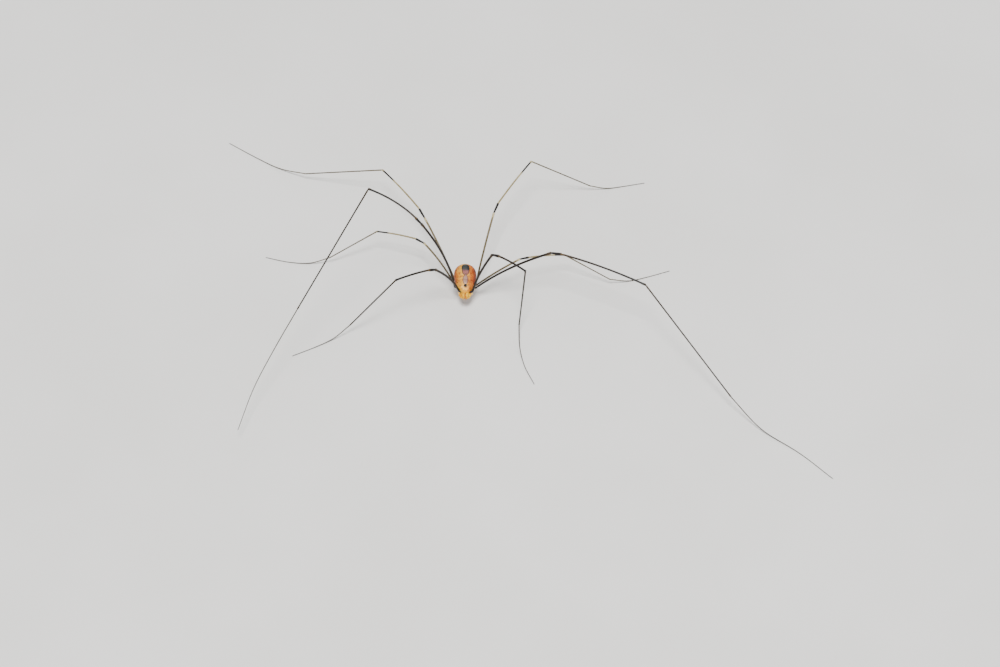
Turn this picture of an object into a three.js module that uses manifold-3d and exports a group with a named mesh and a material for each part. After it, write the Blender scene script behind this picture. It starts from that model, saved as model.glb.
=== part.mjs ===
// A long-legged harvestman standing on a floor, life size, in millimetres, +Z up, head towards -Y.
// +X is the animal's left side. The floor is at z = 0, and the origin is under the middle of the whole.
import * as THREE from 'three';
import { mergeVertices } from 'three/addons/utils/BufferGeometryUtils.js';
import Module from 'manifold-3d';

const wasm = await Module();
wasm.setup();

// Body: an egg on its side, blunt at the head, widest behind the middle
const bodyMiddleHeight = 4.0;
const bodyFront = -2.5;
const bodyRear = 2.8;
const bodyHalfWidth = 1.68;
const bodyRise = 1.36;
const bellyDepth = 1.06;
const chestDepth = 0.58;
const carapaceEnd = -0.75;
const seam = 0.25;

// Eye mound, eyes and its two rows of small teeth
const moundPlace = -1.72;
const moundRadius = 0.22;
const moundHeight = 0.34;
const moundFoot = 0.3;
const eyeRadius = 0.11;
const eyeSpread = 0.17;
const eyeForward = 0.05;
const eyeLift = 0.2;
const eyeSocket = 0.04;
const denticlesInRow = 5;
const denticleHeight = 0.1;
const denticleRadius = 0.03;
const denticleRowOut = 0.08;
const denticleRowReach = 0.17;
const denticleRowTurn = 50;

// Jaws on the left side: joints and the tips of both fingers, as [out, along, height]
const jawRoot = [0.28, -2.3, 3.95];
const jawElbow = [0.28, -2.82, 3.94];
const jawWrist = [0.23, -2.98, 3.32];
const jawFixedTip = [0.2, -3.06, 2.9];
const jawMovingTip = [0.12, -2.92, 2.92];
const jawRootRadius = 0.2;
const jawRadius = 0.22;
const elbowSwell = 1.12;
const elbowSides = 10;
const jawSides = 9;
const fingerRadius = 0.06;
const fingerSpread = 0.08;
const fingerOverlap = 0.1;

// Feelers on the left side, folded back under the face: joints from the root to the tip
const feelerJoints = [
  [0.56, -2.32, 3.45],
  [0.78, -2.66, 3.6],
  [0.54, -2.74, 3.2],
  [0.5, -2.52, 2.86],
  [0.36, -2.14, 2.68],
];
const feelerRadii = [0.18, 0.19, 0.16, 0.13];
const feelerClawRadius = 0.045;
const feelerClawLength = 0.2;

// Clearances between pieces that touch in life
const jointGap = 0.28;
const socketGap = 0.12;

// Share of height in a limb's direction above which its rings are turned by the forward direction
const steepLimb = 0.7;

// Corners are kept to this step
const finestStep = 0.001;

// Legs: lengths of femur, patella, tibia, metatarsus and tarsus, the same on both sides
const legLengths = {
  1: { femur: 8.5, patella: 1.1, tibia: 5.6, metatarsus: 11.7, tarsus: 10.3 },
  2: { femur: 14.1, patella: 1.6, tibia: 13.7, metatarsus: 21.3, tarsus: 19.9 },
  3: { femur: 7.8, patella: 1.4, tibia: 6.3, metatarsus: 8.5, tarsus: 10.4 },
  4: { femur: 10.7, patella: 1.8, tibia: 9.5, metatarsus: 13.8, tarsus: 14.5 },
};

// Hips, where each coxa's ball meets the femur, and the inner ends of the coxae, on the left side.
// The body hangs a little to the right between the hips, by stanceAside.
const hips = {
  1: { out: 1.08, along: -1.9, down: 0.25, rootOut: 0.42, rootAlong: -1.5 },
  2: { out: 1.72, along: -0.85, down: 0.6, rootOut: 0.44, rootAlong: -0.9 },
  3: { out: 1.8, along: -0.3, down: 0.6, rootOut: 0.44, rootAlong: -0.3 },
  4: { out: 1.7, along: 0.45, down: 0.6, rootOut: 0.44, rootAlong: 0.3 },
};
const coxaRootDrop = 0.98;
const stanceAside = 0.12;
const legPassageLength = 2.2;

// Pose: heading (degrees round Z from +X) and rise (degrees above level) of each length of each leg.
// The tarsus runs out in three lengths and comes down to the floor, except on the raised right second leg.
const pose = {
  right: {
    1: { heading: [201, 206, 206, 196, 205, 208, 207], rise: [60, 24, 5, -54] },
    2: { heading: [158, 182, 205, 229, 234, 240, 249], rise: [64, 58, 54, -45, -37, -30, -27] },
    3: { heading: [133, 152, 165, 197, 183, 176, 168], rise: [24, 5, -6, -30] },
    4: { heading: [120, 119, 128, 165, 154, 150, 148], rise: [23, 8, -1, -25] },
  },
  left: {
    1: { heading: [25, -22, -44, -95, -86, -77, -66], rise: [71, 12, 16, -81] },
    2: { heading: [2, -16, -23, -45, -37, -33, -42], rise: [40, 12, 1, -26] },
    3: { heading: [19, 18, 18, -10, 14, 19, 21], rise: [31, -3, -15, -29] },
    4: { heading: [75, 68, 57, 15, 13, 14, 14], rise: [35, 15, 4, -41], tarsus: 9.5 },
  },
};
const firstToeDrop = 0.8;
const restingAxisHeight = 0.1;

// Thickness of the legs
const femurRadius = 0.27;
const femurRootRadius = 0.2;
const shinRadius = 0.25;
const shinRootRadius = 0.22;
const kneeRadius = 0.29;
const ankleRadius = 0.27;
const toeTipRadius = 0.13;
const femurBow = 0.055;
const tibiaBow = 0.035;
const coxaRadius = 0.25;
const limbSides = 8;
const toeRings = 8;

// Colours
const orange = { color: 0xc8641e, roughness: 0.55, metalness: 0 };
const cream = { color: 0xd9a85c, roughness: 0.55, metalness: 0 };
const black = { color: 0x120d0a, roughness: 0.25, metalness: 0 };
const darkLeg = { color: 0x21160f, roughness: 0.45, metalness: 0 };
const paleLeg = { color: 0x6d5f33, roughness: 0.5, metalness: 0 };

const sides = { right: -1, left: 1 };
const up = new THREE.Vector3(0, 0, 1);
const forward = new THREE.Vector3(0, -1, 0);

function vec(x, y, z) {
  return new THREE.Vector3(x, y, z);
}

// A closed solid from a geometry, with shared corners merged, flat slivers dropped and faces outwards
function solid(geometry, grain = 1e-4) {
  const bare = geometry.clone();
  bare.deleteAttribute('normal');
  bare.deleteAttribute('uv');
  const merged = mergeVertices(bare, grain);
  const corners = merged.index.array;
  const outward = [];
  const inward = [];
  for (let i = 0; i < corners.length; i += 3) {
    const [a, b, c] = [corners[i], corners[i + 1], corners[i + 2]];
    if (a !== b && b !== c && c !== a) {
      outward.push(a, b, c);
      inward.push(a, c, b);
    }
  }
  const vertProperties = new Float32Array(merged.attributes.position.array);
  const build = (faces) => new wasm.Manifold(new wasm.Mesh({
    numProp: 3,
    vertProperties,
    triVerts: new Uint32Array(faces),
  }));
  const body = build(outward);
  return body.volume() > 0 ? body : build(inward);
}

function geometryOf(body) {
  const mesh = body.getMesh();
  const geometry = new THREE.BufferGeometry();
  geometry.setAttribute('position', new THREE.BufferAttribute(new Float32Array(mesh.vertProperties), 3));
  geometry.setIndex(new THREE.BufferAttribute(new Uint32Array(mesh.triVerts), 1));
  return geometry;
}

// The largest closed piece of a solid, with its corners snapped to a thousandth of a millimetre
function largestPiece(body) {
  const geometry = geometryOf(body);
  const places = geometry.attributes.position;
  const snap = (value) => Math.round(value / finestStep) * finestStep;
  for (let i = 0; i < places.count; i += 1) {
    places.setXYZ(i, snap(places.getX(i)), snap(places.getY(i)), snap(places.getZ(i)));
  }
  const pieces = solid(geometry, finestStep / 2).decompose();
  pieces.sort((a, b) => b.volume() - a.volume());
  return pieces[0];
}

function node(name, body, finish) {
  const geometry = geometryOf(largestPiece(body));
  geometry.computeVertexNormals();
  const mesh = new THREE.Mesh(geometry, new THREE.MeshStandardMaterial(finish));
  mesh.name = name;
  return mesh;
}

// A round limb: a turned profile of [share of length, radius] pairs laid along a curve
function limb(path, profile, around = limbSides) {
  const length = path.getLength();
  const rim = profile.map(([share, radius]) => new THREE.Vector2(radius, share * length));
  const turned = new THREE.LatheGeometry(rim, around);
  const places = turned.attributes.position;
  const reference = Math.abs(path.getTangentAt(0.5).z) > steepLimb ? forward : up;
  for (let i = 0; i < places.count; i += 1) {
    const share = THREE.MathUtils.clamp(places.getY(i) / length, 0, 1);
    const centre = path.getPointAt(share);
    const ahead = path.getTangentAt(share);
    const side = vec(0, 0, 0).crossVectors(reference, ahead).normalize();
    const over = vec(0, 0, 0).crossVectors(ahead, side);
    centre.addScaledVector(side, places.getX(i)).addScaledVector(over, places.getZ(i));
    places.setXYZ(i, centre.x, centre.y, centre.z);
  }
  return solid(turned);
}

// A straight run that may bow upwards between its ends
function bowed(start, end, bow = 0) {
  const chord = end.clone().sub(start);
  const side = vec(0, 0, 0).crossVectors(up, chord).normalize();
  const over = vec(0, 0, 0).crossVectors(chord, side).normalize();
  const middle = start.clone().lerp(end, 0.5).addScaledVector(over, 2 * bow * chord.length());
  return new THREE.QuadraticBezierCurve3(start, middle, end);
}

function ball(centre, radius, around = limbSides) {
  const round = new THREE.SphereGeometry(radius, around, around / 2 + 1);
  round.translate(centre.x, centre.y, centre.z);
  return solid(round);
}

function step(from, length, heading, rise) {
  const h = THREE.MathUtils.degToRad(heading);
  const r = THREE.MathUtils.degToRad(rise);
  return from.clone().add(vec(Math.cos(r) * Math.cos(h), Math.cos(r) * Math.sin(h), Math.sin(r))
    .multiplyScalar(length));
}

// Body form: share runs from -1 at the head to 1 at the rear
function bodySection(share) {
  const wide = Math.sqrt(1 - Math.abs(share) ** 2.5);
  const tall = Math.sqrt(1 - Math.abs(share) ** 2.3);
  const behind = THREE.MathUtils.smoothstep(share, -0.1, 0.5);
  return {
    halfWidth: bodyHalfWidth * wide * (1 + 0.2 * share),
    top: bodyRise * tall * (1 + 0.26 * share),
    bottom: tall * THREE.MathUtils.lerp(chestDepth, bellyDepth, behind),
  };
}

function bodyShare(y) {
  return (y - (bodyFront + bodyRear) / 2) / ((bodyRear - bodyFront) / 2);
}

// Height of the back above the floor on the midline
function backHeight(y) {
  return bodyMiddleHeight + bodySection(bodyShare(y)).top;
}

function bodySolid(extra = 0) {
  const egg = new THREE.SphereGeometry(1, 32, 22);
  const places = egg.attributes.position;
  const half = (bodyRear - bodyFront) / 2;
  for (let i = 0; i < places.count; i += 1) {
    const share = THREE.MathUtils.clamp(places.getY(i), -1, 1);
    const section = bodySection(share);
    const round = Math.max(Math.hypot(places.getX(i), places.getZ(i)), 1e-6);
    const across = places.getX(i) / round;
    const upward = places.getZ(i) / round;
    const tall = upward > 0 ? section.top : section.bottom;
    const grown = round > 1e-5 ? extra : 0;
    places.setXYZ(
      i,
      across * (section.halfWidth + grown),
      (bodyFront + bodyRear) / 2 + share * (half + extra),
      bodyMiddleHeight + upward * (tall + grown),
    );
  }
  return solid(egg);
}

function hipOf(side, number) {
  const hip = hips[number];
  return vec(sides[side] * hip.out + stanceAside, hip.along, bodyMiddleHeight - hip.down);
}

function coxaSolid(side, number, extra = 0) {
  const hip = hips[number];
  const root = vec(sides[side] * hip.rootOut, hip.rootAlong, bodyMiddleHeight - coxaRootDrop);
  const r = coxaRadius + extra;
  const path = bowed(root, hipOf(side, number));
  const profile = [[0, 0], [0, 0.6 * r], [0.12, 0.85 * r], [0.45, r], [0.8, 0.95 * r], [1, 0.7 * r], [1, 0]];
  return limb(path, profile, 10).add(ball(hipOf(side, number), r, 10));
}

// Joints of one leg from the hip to the tip of the tarsus
function legJoints(side, number) {
  const size = legLengths[number];
  const { heading, rise, tarsus = size.tarsus } = pose[side][number];
  const joints = [hipOf(side, number)];
  ['femur', 'patella', 'tibia', 'metatarsus'].forEach((name, i) => {
    joints.push(step(joints[i], size[name], heading[i], rise[i]));
  });
  const ankle = joints[4].z;
  for (let toe = 0; toe < 3; toe += 1) {
    const from = joints[4 + toe];
    const length = tarsus / 3;
    if (rise.length > 4) {
      joints.push(step(from, length, heading[4 + toe], rise[4 + toe]));
    } else {
      const level = toe === 0 ? ankle * (1 - firstToeDrop) : restingAxisHeight;
      const drop = THREE.MathUtils.radToDeg(Math.asin((level - from.z) / length));
      joints.push(step(from, length, heading[4 + toe], drop));
    }
  }
  return joints;
}

// A length of leg that starts clear of the last joint's ball and ends in a ball of its own
function segmentSolid(start, end, { root, middle, knob, clear, bow = 0 }) {
  const gone = clear / start.distanceTo(end);
  const path = bowed(start.clone().lerp(end, gone), end, bow);
  const stations = bow > 0 ? [0.25, 0.5, 0.75] : [0.3];
  const shaft = stations.map((share) => [share, middle]);
  const profile = [[0, 0], [0, 0.8 * root], [0.04, root], ...shaft, [1, 0.9 * middle], [1, 0]];
  return limb(path, profile).add(ball(end, knob));
}

function tarsusSolid(joints, clear) {
  const [ankle, ...toes] = joints;
  const start = ankle.clone().lerp(toes[0], clear / ankle.distanceTo(toes[0]));
  const path = new THREE.CatmullRomCurve3([start, ...toes], false, 'centripetal');
  const profile = [[0, 0], [0, 0.8 * shinRadius]];
  for (let ring = 0; ring <= toeRings; ring += 1) {
    const share = 0.03 + 0.94 * (ring / toeRings);
    profile.push([share, THREE.MathUtils.lerp(shinRadius, toeTipRadius, share ** 1.5)]);
  }
  profile.push([1, 0.6 * toeTipRadius], [1, 0]);
  return limb(path, profile).trimByPlane([0, 0, 1], 0);
}

function leg(side, number) {
  const finish = number < 3 ? darkLeg : paleLeg;
  const joints = legJoints(side, number);
  const name = (part) => `leg_${number}_${side}_${part}`;
  const [hip, knee, shin, heel, ankle] = joints;
  const hipRoom = coxaRadius + jointGap;
  const kneeRoom = kneeRadius + jointGap;
  const later = { root: shinRootRadius, middle: shinRadius, knob: kneeRadius, clear: kneeRoom };
  const femur = { ...later, root: femurRootRadius, middle: femurRadius, clear: hipRoom, bow: femurBow };
  return [
    node(name('coxa'), coxaSolid(side, number), cream),
    node(name('femur'), segmentSolid(hip, knee, femur), finish),
    node(name('patella'), segmentSolid(knee, shin, later), black),
    node(name('tibia'), segmentSolid(shin, heel, { ...later, bow: tibiaBow }), finish),
    node(name('metatarsus'), segmentSolid(heel, ankle, { ...later, knob: ankleRadius }), finish),
    node(name('tarsus'), tarsusSolid(joints.slice(4), ankleRadius + jointGap), finish),
  ];
}

// Trunk: the egg parted by one thin cut into carapace and abdomen, with seats for the coxae
function slab(fromY, toY) {
  const box = new THREE.BoxGeometry(6, toY - fromY, 8);
  box.translate(0, (fromY + toY) / 2, bodyMiddleHeight);
  return solid(box);
}

// Room beside the trunk for the root of a femur
function legPassage(side, number) {
  const [hip, knee] = legJoints(side, number);
  const femur = bowed(hip, knee, femurBow);
  const reach = legPassageLength / hip.distanceTo(knee);
  const path = new THREE.CatmullRomCurve3([0, 0.5, 1].map((share) => femur.getPointAt(share * reach)));
  const r = femurRadius + socketGap;
  return limb(path, [[0, 0], [0, r], [0.5, r], [1, r], [1, 0]], 10);
}

function trunk() {
  let egg = bodySolid();
  for (const side of Object.keys(sides)) {
    for (const number of Object.keys(hips)) {
      egg = egg.subtract(coxaSolid(side, number, socketGap)).subtract(legPassage(side, number));
    }
  }
  return [
    node('carapace', egg.intersect(slab(bodyFront - 1, carapaceEnd - seam / 2)), orange),
    node('abdomen', egg.intersect(slab(carapaceEnd + seam / 2, bodyRear + 1)), orange),
  ];
}

function eyeCentre(side) {
  return vec(sides[side] * eyeSpread, moundPlace - eyeForward, backHeight(moundPlace) + eyeLift);
}

// One tooth of the mound's rows, which fan out from front to back
function denticle(side, turn) {
  const root = vec(
    side * denticleRowOut,
    moundPlace + denticleRowReach * Math.sin(turn),
    backHeight(moundPlace) + denticleRowReach + denticleRowOut * Math.cos(turn),
  );
  const tip = root.clone().add(vec(side * 0.03, denticleHeight * Math.sin(turn), denticleHeight));
  return limb(new THREE.LineCurve3(root, tip), [[0, 0], [0, denticleRadius], [1, 0]], 5);
}

function eyeMound() {
  const foot = vec(0, moundPlace, backHeight(moundPlace) - moundFoot);
  const crown = vec(0, moundPlace, backHeight(moundPlace) + moundHeight);
  const outline = [[0, 1.15], [0.45, 1.1], [0.7, 1], [0.88, 0.8], [0.97, 0.45]];
  const profile = [[0, 0], ...outline.map(([share, wide]) => [share, wide * moundRadius]), [1, 0]];
  let mound = limb(new THREE.LineCurve3(foot, crown), profile, 16);
  for (const side of Object.values(sides)) {
    for (let i = 0; i < denticlesInRow; i += 1) {
      const share = 2 * (i / (denticlesInRow - 1)) - 1;
      mound = mound.add(denticle(side, THREE.MathUtils.degToRad(denticleRowTurn * share)));
    }
  }
  mound = mound.subtract(bodySolid(socketGap));
  for (const side of Object.keys(sides)) {
    mound = mound.subtract(ball(eyeCentre(side), eyeRadius + eyeSocket, 12));
  }
  return node('eye_mound', mound, black);
}

// A solid made for the left side, mirrored for the right
function onSide(side, body) {
  return sides[side] > 0 ? body : body.mirror([1, 0, 0]);
}

// One finger of the left jaw, rooted in the hand a little out or in from the wrist
function finger(tip, out, bow) {
  const root = vec(...jawWrist).add(vec(out, 0, fingerOverlap));
  const r = fingerRadius;
  return limb(bowed(root, vec(...tip), bow), [[0, 0], [0, r], [0.6, 0.7 * r], [1, 0]], 6);
}

function chelicera(side) {
  const [root, elbow, wrist] = [jawRoot, jawElbow, jawWrist].map((place) => vec(...place));
  const r = jawRadius;
  const upper = [[0, 0], [0, 0.75 * jawRootRadius], [0.3, jawRootRadius], [1, 0.9 * r], [1, 0]];
  const lower = [[0, 0], [0, 0.8 * r], [0.4, r], [0.8, 0.9 * r], [1, 0.75 * r], [1, 0]];
  const whole = limb(bowed(root, elbow, 0.08), upper, jawSides)
    .add(ball(elbow, elbowSwell * r, elbowSides))
    .add(limb(bowed(elbow, wrist, 0.1), lower, jawSides))
    .add(finger(jawFixedTip, fingerSpread, 0.1))
    .add(finger(jawMovingTip, -fingerSpread, -0.1))
    .subtract(bodySolid(socketGap));
  return node(`chelicera_${side}`, onSide(side, whole), cream);
}

function pedipalp(side) {
  const joints = feelerJoints.map((place) => vec(...place));
  const tip = joints[4];
  const clawRoot = tip.clone().lerp(joints[3], 0.1);
  const clawTip = tip.clone().add(vec(0, 0.3 * feelerClawLength, -feelerClawLength));
  let palp = limb(bowed(clawRoot, clawTip, 0.1), [[0, 0], [0, feelerClawRadius], [1, 0]], 5);
  feelerRadii.forEach((r, i) => {
    const end = i === 3 ? 0.55 * r : r;
    const profile = [[0, 0], [0, 0.75 * r], [0.4, r], [0.85, end], [1, 0.8 * end], [1, 0]];
    palp = palp.add(ball(joints[i], r, 8)).add(limb(bowed(joints[i], joints[i + 1], 0.03), profile, 8));
  });
  return node(`pedipalp_${side}`, onSide(side, palp.subtract(bodySolid(socketGap))), cream);
}

const harvestman = new THREE.Group();
harvestman.add(...trunk(), eyeMound());
for (const side of Object.keys(sides)) {
  harvestman.add(node(`eye_${side}`, ball(eyeCentre(side), eyeRadius, 12), black));
  harvestman.add(chelicera(side), pedipalp(side));
  for (const number of Object.keys(hips)) {
    harvestman.add(...leg(side, number));
  }
}

// The origin goes under the middle of the whole animal, legs and all
const middle = new THREE.Box3().setFromObject(harvestman).getCenter(vec(0, 0, 0));
const steps = middle.divideScalar(finestStep).round();
harvestman.position.set(-steps.x * finestStep, -steps.y * finestStep, 0);

export default harvestman;
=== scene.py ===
import math

import bpy
import numpy as np
from mathutils import Matrix, Vector


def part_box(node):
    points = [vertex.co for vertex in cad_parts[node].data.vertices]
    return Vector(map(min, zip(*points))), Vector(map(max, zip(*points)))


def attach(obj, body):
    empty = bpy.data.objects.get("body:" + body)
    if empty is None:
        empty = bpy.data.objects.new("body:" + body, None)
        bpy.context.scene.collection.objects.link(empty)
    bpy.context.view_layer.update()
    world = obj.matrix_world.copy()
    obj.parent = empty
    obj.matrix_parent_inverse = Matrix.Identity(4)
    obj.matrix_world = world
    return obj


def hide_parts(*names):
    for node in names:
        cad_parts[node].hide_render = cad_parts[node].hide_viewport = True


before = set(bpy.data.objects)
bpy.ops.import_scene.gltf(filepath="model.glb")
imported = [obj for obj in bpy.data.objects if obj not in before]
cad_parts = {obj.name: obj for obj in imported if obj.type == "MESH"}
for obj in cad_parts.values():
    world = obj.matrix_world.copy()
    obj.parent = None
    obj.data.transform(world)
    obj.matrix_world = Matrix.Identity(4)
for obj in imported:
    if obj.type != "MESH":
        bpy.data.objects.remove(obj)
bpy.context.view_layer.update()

# A long-legged harvestman, life size. Sizes are in millimetres from the floor under the body,
# the head points to -Y and +X is the animal's left side.
MM = 0.001
SIDES = {"right": -1, "left": 1}

# Body, an egg on its side
BODY_MIDDLE = 4.0
BODY_FRONT = -2.5
BODY_REAR = 2.8
BODY_HALF_WIDTH = 1.68
BODY_RISE = 1.36
BELLY_DEPTH = 1.06
CHEST_DEPTH = 0.8

# The body's section: how blunt its ends are, and how much wider, taller and deeper it is behind
BLUNT_WIDTH = 2.5
BLUNT_HEIGHT = 2.3
WIDER_BEHIND = 0.2
TALLER_BEHIND = 0.26
CHEST_ENDS = (-0.1, 0.5)
BODY_RINGS = 200
BODY_AROUND = 160

# Grooves across the back and belly: place along the body, depth
CARAPACE_END = -0.75
BACK_GROOVES = [
    (-1.22, 0.018),
    (CARAPACE_END, 0.06),
    (-0.2, 0.022),
    (0.3, 0.024),
    (0.78, 0.026),
    (1.25, 0.05),
    (1.68, 0.045),
    (2.06, 0.04),
    (2.36, 0.035),
]
BELLY_GROOVES = [(0.85, 0.035), (1.25, 0.035), (1.65, 0.035), (2.05, 0.03), (2.35, 0.03)]
GROOVE_WIDTH = 0.045
FLANK_FOLD = 0.07

# Half width of the band down the middle of the back: place along the body, half width
BAND = [
    (-1.6, 0.0),
    (-1.5, 0.14),
    (-1.3, 0.26),
    (-1.1, 0.36),
    (-0.75, 0.44),
    (-0.4, 0.38),
    (-0.1, 0.22),
    (0.02, 0.14),
    (0.12, 0.3),
    (0.3, 0.44),
    (0.55, 0.49),
    (1.1, 0.56),
    (1.6, 0.56),
    (1.95, 0.46),
    (2.15, 0.28),
    (2.28, 0.0),
]
NO_BAND = -0.3

# Dark spots and pale specks on the back: out to the left, along, size
SPOTS_BELOW_MIDDLE = 0.3
# The two large dark spots at the sides of the back are painted shade
DARK_SPOTS_AND_SIDE_SHADE = [
    (1.42, 1.1, 0.24),
    (-1.42, 1.2, 0.22),
    (1.28, -0.9, 0.13),
    (-1.2, -0.95, 0.13),
    (0.42, -1.5, 0.12),
]
# The two pale specks either side of the waist are painted highlights
PALE_SPECKS_AND_HIGHLIGHTS = [
    (-1.0, -1.12, 0.09),
    (-1.16, -0.85, 0.07),
    (1.2, -1.3, 0.07),
    (-0.5, 0.16, 0.13),
    (0.55, 0.16, 0.13),
]

# Eye mound
MOUND_PLACE = -1.72
MOUND_RADIUS = 0.22
MOUND_HEIGHT = 0.34
EYE_RADIUS = 0.11
EYE_SPREAD = 0.17
EYE_FORWARD = 0.05
EYE_LIFT = 0.2
DENTICLES_IN_ROW = 6
MOUND_FURROW = 0.07
MOUND_SLOPE = 0.62
MOUND_SHARES = (0, 0.08, 0.2, 0.4, 0.62, 0.8, 0.92, 0.98, 1)
MOUND_WIDTHS = (1.8, 1.42, 1.16, 1.05, 0.97, 0.84, 0.58, 0.26, 0.02)
MOUND_LEVELS = (-0.75, -0.3, 0.08, 0.42, 0.7, 0.9, 1.0, 1.03, 1.03)
MOUND_RINGS = 40
MOUND_AROUND = 48
MOUND_OVAL = 0.95
MOUND_ROOT = 0.3
FURROW_WIDTH = 0.05
FURROW_STARTS = (0.45, 0.8)
EYE_LOOK = (1.0, -0.25, 0.2)
EYE_STEPS = 16
EYE_SIDES = 24
EYE_RIM = 0.012
EYE_RIM_TURN = 1.9
EYE_RIM_WIDTH = 0.16
EYE_LEAST = 0.002

# Teeth of the mound: two rows, each an arch, and how far a tip stands out, along and up from its root
TOOTH_GIRTH = [(0, 0.01), (0.05, 0.035), (0.6, 0.02), (1, 0.004)]
TOOTH_REACH = (0.035, 0.08, 0.1)
TOOTH_ROW_ASIDE = 0.1
TOOTH_ROW_LIFT = 0.2
TOOTH_ROW_LENGTH = 0.19
TOOTH_ROW_RISE = 0.13
TOOTH_ROW_TURN = 62
THIN_SIDES = 8

# Jaws, on the left side: joints and the tips of both fingers, as out, along and height
JAW_ROOT = (0.28, -2.2, 3.92)
JAW_ELBOW = (0.3, -2.82, 3.93)
JAW_WRIST = (0.23, -2.98, 3.32)
JAW_FIXED_TIP = (0.2, -3.06, 2.9)
JAW_MOVING_TIP = (0.12, -2.92, 2.92)

# How far each finger's root is from the wrist, and how far the lengths run past the joints
JAW_FIXED_ROOT = (0.05, -0.02, 0.12)
JAW_MOVING_ROOT = (-0.04, 0.03, 0.12)
JAW_FINGER_BOW = 0.12
JAW_UPPER_OVERLAP = 0.25
JAW_HAND_RISE = 0.2
JAW_HAND_DROP = 0.08

# Feelers, on the left side, folded back under the face
FEELER_JOINTS = [
    (0.56, -2.2, 3.42),
    (0.76, -2.64, 3.58),
    (0.54, -2.72, 3.2),
    (0.5, -2.5, 2.86),
    (0.36, -2.14, 2.68),
]
JAW_UPPER_GIRTH = [
    (0, 0.02), (0.03, 0.14), (0.1, 0.22), (0.3, 0.27), (0.6, 0.285), (0.78, 0.265), (0.9, 0.2), (0.97, 0.11),
    (1, 0.01),
]
JAW_HAND_GIRTH = [
    (0, 0.02), (0.03, 0.1), (0.08, 0.16), (0.18, 0.23), (0.32, 0.275), (0.5, 0.285), (0.66, 0.265),
    (0.8, 0.22), (0.9, 0.16), (0.96, 0.1), (1, 0.01),
]
JAW_FINGER_GIRTH = [(0, 0.01), (0.05, 0.085), (0.3, 0.075), (0.6, 0.052), (0.9, 0.022), (1, 0.005)]
FEELER_RADII = (0.24, 0.21, 0.17, 0.13)
FEELER_TIP = 0.5
FEELER_SEAT = 0.5
FEELER_REACH = 0.6
FEELER_SWELL = 0.6
FEELER_CLAW = (0, 0.06, -0.18)
FEELER_CLAW_SEAT = 0.05
FEELER_GIRTH = [
    (0, 0.02), (0.03, 0.36), (0.08, 0.6), (0.16, 0.8), (0.3, 0.9), (0.55, 0.96), (0.72, 1.02), (0.84, 1.0),
    (0.92, 0.82), (0.97, 0.52), (1, 0.02),
]
MOUTH_LOBE_GIRTH = [(0, 0.01), (0.06, 0.12), (0.35, 0.19), (0.75, 0.18), (0.93, 0.11), (1, 0.01)]
CLAW_GIRTH = [(0, 0.01), (0.08, 0.03), (0.6, 0.018), (1, 0.003)]
LEG_SIDES = 12
FEELER_SIDES = 16
JAW_SIDES = 20
MOUTH_LOBE = ((0.3, -2.0, 3.12), (0.42, -2.82, 3.2))

# Bays in the edge of the carapace above the hips: place along the body, depth
EDGE_BAYS = [(-1.95, 0.09), (-1.28, 0.05), (-0.6, 0.05), (0.1, 0.04)]
EDGE_BAY_LENGTH = 0.2

# Zones of the skin, as shares of the way round from the top (0) to the bottom (1)
BACK_ENDS = (0.46, 0.56)
EDGE_WIDTH = 0.07
BELLY_STARTS = (0.58, 0.66)
FOLD_LEVEL = 0.57
FOLD_WIDTH = 0.022

# The flank's fold and the belly's plate: places along the body, half widths, edge, height and shade
FOLD_STARTS = (-1.0, -0.3)
PLATE_STARTS = (-1.6, -1.4)
PLATE_ENDS = (0.55, 0.75)
PLATE_HALF_WIDTHS = ([-1.5, 0.5], [0.22, 0.42])
PLATE_EDGE = (-0.12, 0.02)
BELLY_PLATE_DROP = 0.26
DEEPEST_GROOVE = 0.06
GROOVE_BEND = 0.1
FOLD_SHADE = 0.9

# Bristles: number per square millimetre, length, thickness and lean along the limb
LEG_BRISTLES = (30.0, 0.11, 0.013, 1.2)
FEELER_BRISTLES = (50.0, 0.09, 0.011, 1.0)
BODY_BRISTLES = (11.0, 0.07, 0.012, 0.8)
BRISTLE_SEED = 7
BRISTLE_LENGTHS = (0.6, 1.15)
BRISTLE_STRAY = 0.3
DOWNY_TOE = 1.5
BARE_HIP = 0.02
BELLY_DOWN = 0.35
DOWNY_BELOW_MIDDLE = 0.6
UNWRAP_PATCH = 0.003
CLAW_LENGTH = 0.16
CLAW_CLEARANCE = 0.006
CLAW_SEAT = 0.08
CLAW_AHEAD = 0.75
CLAW_DROP = 0.6

# Hips: the inner half of a coxa stands taller than it is wide, and its rim is round
COXA_EXTRA_HEIGHT = 0.25
COXA_TALL_TO = -0.5
COXA_ALONG = (-1.0, -0.02)
COXA_SIDES = 28
COXA_GIRTH = [
    (0, 0.01), (0.02, 0.12), (0.06, 0.2), (0.15, 0.29), (0.35, 0.35), (0.55, 0.355), (0.7, 0.335),
    (0.82, 0.3), (0.9, 0.26), (0.95, 0.21), (0.985, 0.14), (1, 0.02),
]
TROCHANTER_GIRTH = [
    (0, 0.01), (0.04, 0.08), (0.12, 0.13), (0.3, 0.165), (0.6, 0.175), (0.82, 0.155), (0.93, 0.1),
    (0.98, 0.05), (1, 0.01),
]
TROCHANTER_SEAT = 0.12
TROCHANTER_REACH = 0.1
FIRST_TROCHANTER_ROOT = (0.62, -2.24, 4.02)

# Lengths of each pair of legs, in the order of their segments
SEGMENTS = ("femur", "patella", "tibia", "metatarsus", "tarsus")
LEG_LENGTHS = {
    1: (8.5, 1.1, 5.6, 11.7, 10.3),
    2: (14.1, 1.6, 13.7, 21.3, 19.9),
    3: (7.8, 1.4, 6.3, 8.5, 10.4),
    4: (10.7, 1.8, 9.5, 13.8, 14.5),
}
SHORT_LEFT_FOURTH_TARSUS = 9.5

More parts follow.
